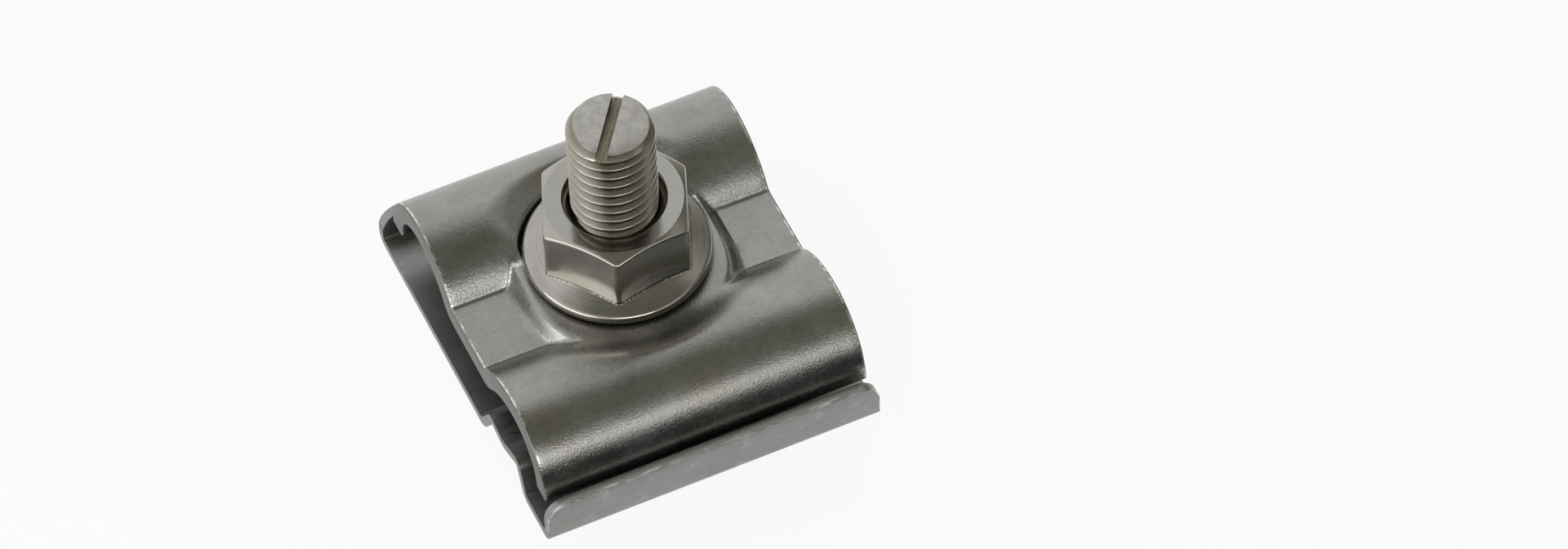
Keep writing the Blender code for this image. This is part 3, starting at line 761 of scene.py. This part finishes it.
class CLAMP_OT_plate(Operator):
    """Presses the clamping plate with its two lobes and the raised seat of the nut"""

    bl_idname = "clamp.clamping_plate"
    bl_label = "Clamping plate"

    def lobe(self, y, rise, radius, slope, drop, bend):
        """A lobe at +Y: its outer line from the leg's tip to the end of the bend into the valley."""
        up = math.pi / 2
        centre, slope_centre = (y, rise - radius), (y, rise - slope)
        height = bend - slope_centre[1]
        across = math.sqrt((slope + bend) ** 2 - height**2)
        turn = math.atan2(height, -across)
        line = arc(centre, radius, math.asin((-drop - centre[1]) / radius), up)
        line += arc(slope_centre, slope, up, turn)[1:]
        line += arc((y - across, bend), bend, turn - math.pi, -up, -1.0, 0.12 * MM)[1:]
        return line

    def section(self, s):
        """The pressed sheet's outer line, from the rear leg to the front leg."""
        rear = self.lobe(s.rear_y, s.rear_rise, s.rear_radius, s.rear_slope, s.rear_drop, s.crease)
        front = self.lobe(-s.front_y, s.front_rise, s.front_radius, s.front_slope, s.front_drop, s.crease)
        front = [((-y, z), (-ny, nz)) for (y, z), (ny, nz) in reversed(front)]
        return rear + straight(rear[-1][0], front[0][0], 0.3 * MM) + front

    def press(self, sizes, x, y, z, level):
        """Raises the valley and sinks both lobes to the level of the nut's seat."""
        reach = (abs(x) ** 3 + abs(y) ** 3) ** (1.0 / 3.0)
        raised = self.share(sizes, reach, sizes.seat_flank)
        if raised > 0.0:
            plateau = level - (1.0 - raised) * sizes.seat_rise
            near = max(0.0, sizes.seat_blend - abs(z - plateau))
            z = max(z, plateau) + near**2 / (4.0 * sizes.seat_blend)
        reach = math.hypot(x, y)
        if y < 0.0:
            return z - self.share(sizes, reach, sizes.front_flank) * max(0.0, z - level)
        past = reach + sizes.rear_margin
        wall = sizes.rear_step * (1.0 - self.share(sizes, past, sizes.rear_flank))
        limit = level + wall + sizes.rear_dish * max(0.0, past - sizes.seat_radius)
        near = max(0.0, sizes.seat_blend - abs(z - limit)) if z > level + sizes.seat_blend else 0.0
        return min(z, limit) - near**2 / (4.0 * sizes.seat_blend)

    def share(self, sizes, reach, flank):
        part = min(1.0, max(0.0, (sizes.seat_radius + flank - reach) / flank))
        return part * part * (3.0 - 2.0 * part)

    def execute(self, context):
        sizes = context.scene.clamp_plate
        valley_z = PLATE_HIGH.z - sizes.rear_rise
        path = self.section(sizes)
        outer = [(y, z, sizes.seat_rise) for (y, z), _ in path]
        inner = [
            (y - sizes.sheet * ny, z - sizes.sheet * nz, sizes.seat_rise - sizes.sheet)
            for (y, z), (ny, nz) in path
        ]
        ring = outer + inner[::-1]
        boss = sizes.seat_radius + sizes.seat_flank
        half = PLATE_HIGH.x
        fine, coarse = 0.2 * MM, 1.2 * MM
        ends = even(boss + 1.0 * MM, half, coarse)
        stations = sorted([-x for x in ends] + even(-boss, boss, fine) + ends)
        rows = [
            [(x, y, valley_z + self.press(sizes, x, y, z, level)) for y, z, level in ring] for x in stations
        ]
        plate = surface("clamping_plate_pressed", rows, ring=True)
        round_edges(plate, sizes.edge, 4)
        apply_modifiers(plate)
        bolt_hole(plate, sizes.hole / 2, valley_z - 2 * sizes.sheet, valley_z + 2 * sizes.sheet)
        finish_piece(plate, "clamping_plate", "plate", pressed_sheet(context.scene.clamp_finish))
        return {"FINISHED"}


class CLAMP_OT_bolt(Operator):
    """Cuts the bolt's thread, forges its hammer head and saws its slot"""

    bl_idname = "clamp.hammer_head_bolt"
    bl_label = "Hammer head bolt"

    def head(self, sizes):
        """The hammer head: long along X, two corners sharp and two round."""
        half_x, half_y = sizes.head_length / 2, sizes.head_width / 2
        corners = [
            (half_x, half_y, sizes.head_sharp),
            (-half_x, half_y, sizes.head_round),
            (-half_x, -half_y, sizes.head_sharp),
            (half_x, -half_y, sizes.head_round),
        ]
        shape = bmesh.new()
        ring = []
        for index, (x, y, radius) in enumerate(corners):
            centre = (x - math.copysign(radius, x), y - math.copysign(radius, y))
            start = index * math.pi / 2
            for place, _ in arc(centre, radius, start, start + math.pi / 2, step=0.45 * MM):
                ring.append(shape.verts.new((*place, 0.0)))
        made = bmesh.ops.extrude_face_region(shape, geom=[shape.faces.new(ring)])["geom"]
        top = [item for item in made if isinstance(item, bmesh.types.BMVert)]
        bmesh.ops.translate(shape, verts=top, vec=(0.0, 0.0, sizes.head_height))
        bmesh.ops.recalc_face_normals(shape, faces=shape.faces)
        obj = new_object("t_bolt_forged", shape)
        round_edges(obj, sizes.head_edge, 3, math.radians(50.0))
        apply_modifiers(obj)
        return obj

    def thread(self, sizes, material, low, top):
        """The threaded length, drawn past both ends, closed on the axis and then cut to the point."""
        cut = {
            "Radius": sizes.diameter / 2,
            "Pitch": sizes.pitch,
            "Depth": sizes.depth,
            "Crest": sizes.crest,
            "Flank slope": math.tan(sizes.flank),
            "Crest softness": sizes.crest_soft,
            "Root softness": sizes.root_soft,
            "Low": low,
            "Turns": float(math.ceil((top - low) / sizes.pitch) + 1),
            "Sides": float(sizes.sides),
            "Rows": float(sizes.rows),
        }
        thread = new_object("t_bolt_thread", bmesh.new())
        run_tree(thread, thread_tree(cut), cut, material)
        shape = bmesh.new()
        shape.from_mesh(thread.data)
        open_edges = [edge for edge in shape.edges if edge.is_boundary]
        made = bmesh.ops.extrude_edge_only(shape, edges=open_edges)["geom"]
        drawn = [item for item in made if isinstance(item, bmesh.types.BMVert)]
        lower = [vert for vert in drawn if vert.co.z < (low + top) / 2]
        upper = [vert for vert in drawn if vert.co.z >= (low + top) / 2]
        for rim in (lower, upper):
            level = sum(vert.co.z for vert in rim) / len(rim)
            bmesh.ops.pointmerge(shape, verts=rim, merge_co=(0.0, 0.0, level))
        bmesh.ops.recalc_face_normals(shape, faces=shape.faces)
        shape.to_mesh(thread.data)
        shape.free()
        wide = 0.6 * sizes.diameter
        inner = sizes.diameter / 2 - sizes.point
        soft = 0.12 * MM
        profile = [
            (0.0, top),
            (inner - soft, top),
            (inner - 0.3 * soft, top - 0.25 * soft),
            (inner + 0.3 * soft, top - 0.7 * soft),
            (wide, top - (wide - inner)),
            (wide, sizes.head_height / 2),
            (0.0, sizes.head_height / 2),
        ]
        combine(thread, "INTERSECT", turned("t_bolt_point", profile, 144))
        return thread

    def execute(self, context):
        sizes = context.scene.clamp_bolt
        material = threaded_steel(context.scene.clamp_finish, sizes)
        top = BOLT_HIGH.z
        shoulder = sizes.head_height + sizes.plain
        half = sizes.plain_diameter / 2
        foot = sizes.head_height / 2
        profile = [(0.0, shoulder), (half, shoulder), (half, foot), (0.0, foot)]
        turn = Matrix.Rotation(sizes.turn, 4, "Z")
        thread = self.thread(sizes, material, shoulder - sizes.pitch, top)
        thread.data.transform(turn)
        bolt = self.head(sizes)
        bolt.data.transform(turn)
        shank = turned("t_bolt_shank", profile, 72)
        combine(shank, "UNION", thread)
        combine(bolt, "UNION", shank)
        bpy.ops.mesh.primitive_cube_add(size=1.0)
        slot = bpy.context.object
        blade = 20.0 * MM
        slot.data.transform(Matrix.Diagonal((blade, sizes.slot_width, 2 * sizes.slot_depth, 1.0)))
        slot.data.transform(turn @ Matrix.Rotation(sizes.slot_tilt, 4, "Y"))
        slot.data.transform(Matrix.Translation((0.0, 0.0, top + sizes.slot_rise)))
        combine(bolt, "DIFFERENCE", slot)
        finish_piece(bolt, "t_bolt", "bolt", material, math.radians(42.0))
        return {"FINISHED"}


class CLAMP_OT_nut(Operator):
    """Turns the nut's blank and mills its hexagon"""

    bl_idname = "clamp.flange_nut"
    bl_label = "Flange nut"

    def blank(self, sizes, height):
        """The turned blank, from its closed profile of (radius, height)."""
        rim, bore, soft = sizes.flange / 2 - sizes.rim_round, sizes.bore / 2, sizes.rim_round
        lower = arc((rim, soft), soft, -math.pi / 2, 0.0, step=0.26 * MM)
        upper = arc((rim, sizes.rim - soft), soft, 0.0, math.radians(68.0), step=0.20 * MM)
        gap = 1.5 * MM
        profile = [
            (bore + sizes.sink, 0.0),
            *(place for place, _ in lower + upper),
            *((sizes.blank, z) for z in even(sizes.rim + 0.03 * MM, height, 0.08 * MM)),
            (bore + sizes.sink + 0.1 * MM, height),
            (bore + sizes.sink, height - 0.05 * MM),
            (bore, height - sizes.sink),
            *((bore, z) for z in even(gap, height - gap, gap / 2)[::-1]),
            (bore, sizes.sink),
        ]
        return turned("flange_nut_turned", profile, sizes.sides, ring=True)

    def execute(self, context):
        sizes = context.scene.clamp_nut
        height = NUT_HIGH.z - NUT_LOW.z
        half = sizes.flats / 2
        rim_end = sizes.flange / 2 - 0.82 * sizes.rim_round  # just inside the rim's rounding
        mill = {
            "Blank": sizes.blank,
            "Height": height,
            "Half flats": half,
            "Corner": half / math.cos(math.pi / 6) - sizes.corner,
            "Top circle": sizes.top_circle * half,
            "Chamfer slope": math.tan(sizes.chamfer),
            "Rim": sizes.rim,
            "Rim radius": rim_end,
            "Slope radius": sizes.slope_start * half,
            "Slope top": sizes.slope_top,
            "Softness": sizes.soft,
        }
        material = turned_steel(context.scene.clamp_finish, sizes, NUT_LOW.z)
        nut = self.blank(sizes, height)
        run_tree(nut, hexagon_tree(mill), mill, material)
        nut.data.transform(Matrix.Translation((0.0, 0.0, NUT_LOW.z)) @ Matrix.Rotation(sizes.turn, 4, "Z"))
        finish_piece(nut, "flange_nut", "nut", material, math.radians(24.0))
        return {"FINISHED"}


class CLAMP_OT_stage(Operator):
    """Sets the pale floor, the dark card, the world, the soft lamps and the camera"""

    bl_idname = "clamp.stage"
    bl_label = "Stage"

    def floor(self, stage):
        """A wide plane just under the hammer head: lit as a floor, and seen and mirrored as white."""
        bpy.ops.mesh.primitive_plane_add(size=8.0, location=(0.0, 0.0, BOLT_LOW.z - 0.02 * MM))
        floor = bpy.context.object
        floor.name = "floor"
        material, net = empty_material("pale_floor")
        rays = net.tree.nodes.new("ShaderNodeLightPath").outputs
        seen = Wire(net, rays["Is Camera Ray"]) + Wire(net, rays["Is Glossy Ray"])
        seen = net.math("ADD", seen, Wire(net, rays["Is Transmission Ray"]), clamp=True)
        cloth = net.node("ShaderNodeBsdfDiffuse", {"Color": (*stage.floor, 1.0)})
        glow = net.node("ShaderNodeEmission", {"Color": (1.0, 1.0, 1.0, 1.0), "Strength": 1.0})
        mixed = net.node("ShaderNodeMixShader", {0: seen * 0.9, 1: cloth, 2: glow})
        net.node("ShaderNodeOutputMaterial", {"Surface": mixed})
        floor.data.materials.append(material)

    def card(self):
        """A dark card that lies before the clamp and turns up at its far side; it is mirrored, never seen."""
        half, near, far, top = 0.4, -0.045, -0.30, 0.075
        line = ((near, 0.1 * MM), (far, 0.1 * MM), (far, top))
        card = surface("dark_card", [[(x, y, BOLT_LOW.z + z) for x in (-half, half)] for y, z in line])
        material, net = empty_material("dark_card")
        cloth = net.node("ShaderNodeBsdfDiffuse", {"Color": (0.03, 0.03, 0.03, 1.0)})
        net.node("ShaderNodeOutputMaterial", {"Surface": cloth})
        card.data.materials.append(material)
        card.visible_camera = False
        card.visible_diffuse = False
        card.visible_shadow = False

    def world(self):
        """Pale walls, a dark one on the right, and a darker ceiling that comes down in front."""
        world = bpy.data.worlds.new("studio")
        bpy.context.scene.world = world
        world.use_nodes = True
        net = Net(world.node_tree)
        x, y, z = net.split(net.node("ShaderNodeTexCoord", output=0))
        toward = 0.08 * x - 0.35 * y + 0.933 * z
        ceiling = net.between(toward, 0.64, 0.88)
        wall = net.between(x, 0.45, 0.80)
        pale, dark = (1.0, 1.0, 1.0, 1.0), (0.225, 0.224, 0.184, 1.0)
        grey = net.mix(net.math("MAXIMUM", ceiling, wall), pale, dark)
        glow = net.node("ShaderNodeBackground", {"Color": grey, "Strength": 1.0})
        net.node("ShaderNodeOutputWorld", {"Surface": glow})

    def lamp(self, name, place, size, power, aim):
        data = bpy.data.lights.new(name, "AREA")
        data.shape = "RECTANGLE"
        data.size, data.size_y = size
        data.energy = power
        lamp = bpy.data.objects.new(name, data)
        bpy.context.scene.collection.objects.link(lamp)
        lamp.location = place
        lamp.rotation_euler = (aim - Vector(place)).to_track_quat("-Z", "Y").to_euler()

    def camera(self, stage, seat):
        a, e, roll = stage.azimuth, stage.elevation, stage.roll
        ahead = Vector((math.sin(a) * math.cos(e), math.cos(a) * math.cos(e), -math.sin(e)))
        right = Vector((math.cos(a), -math.sin(a), 0.0))
        up = right.cross(ahead)
        rolled_right = math.cos(roll) * right - math.sin(roll) * up
        rolled_up = math.sin(roll) * right + math.cos(roll) * up
        camera = bpy.data.objects.new("camera", bpy.data.cameras.new("camera"))
        bpy.context.scene.collection.objects.link(camera)
        camera.data.sensor_width = 36.0
        camera.data.lens = stage.lens
        camera.data.clip_start = 0.05
        place = seat + stage.shift_right * rolled_right + stage.shift_up * rolled_up - stage.distance * ahead
        turn = Matrix((rolled_right, rolled_up, -ahead)).transposed().to_4x4()
        camera.matrix_world = Matrix.Translation(place) @ turn
        bpy.context.scene.camera = camera

    def execute(self, context):
        stage = context.scene.clamp_stage
        seat = Vector((0.0, 0.0, NUT_LOW.z))
        self.floor(stage)
        self.card()
        self.world()
        self.lamp("front", (-0.12, -0.86, 0.40), (0.6, 0.16), 1.25, seat)
        self.lamp("left", (-0.82, -0.2, 0.2), (0.9, 0.3), 1.9, seat)
        self.camera(stage, seat)
        context.scene.view_settings.view_transform = "Standard"
        return {"FINISHED"}


class CLAMP_PT_panel(Panel):
    """Lists the clamp's pieces"""

    bl_label = "Earthing clamp"
    bl_idname = "CLAMP_PT_panel"
    bl_space_type = "VIEW_3D"
    bl_region_type = "UI"
    bl_category = "Clamp"

    def draw(self, context):
        for operator in OPERATORS:
            self.layout.operator(operator.bl_idname)


SIZES = {
    "clamp_base": ClampBaseSizes,
    "clamp_plate": ClampPlateSizes,
    "clamp_bolt": ClampBoltSizes,
    "clamp_nut": ClampNutSizes,
    "clamp_finish": ClampFinish,
    "clamp_stage": ClampStage,
}
OPERATORS = (CLAMP_OT_base, CLAMP_OT_plate, CLAMP_OT_bolt, CLAMP_OT_nut, CLAMP_OT_stage)


def register():
    for name, group in SIZES.items():
        bpy.utils.register_class(group)
        setattr(bpy.types.Scene, name, PointerProperty(type=group))
    for item in (*OPERATORS, CLAMP_PT_panel):
        bpy.utils.register_class(item)


def unregister():
    for item in (CLAMP_PT_panel, *reversed(OPERATORS)):
        bpy.utils.unregister_class(item)
    for name, group in reversed(SIZES.items()):
        delattr(bpy.types.Scene, name)
        bpy.utils.unregister_class(group)


def main():
    register()
    bpy.ops.clamp.base_plate()
    bpy.ops.clamp.clamping_plate()
    bpy.ops.clamp.hammer_head_bolt()
    bpy.ops.clamp.flange_nut()
    bpy.ops.clamp.stage()


if __name__ == "__main__":
    main()
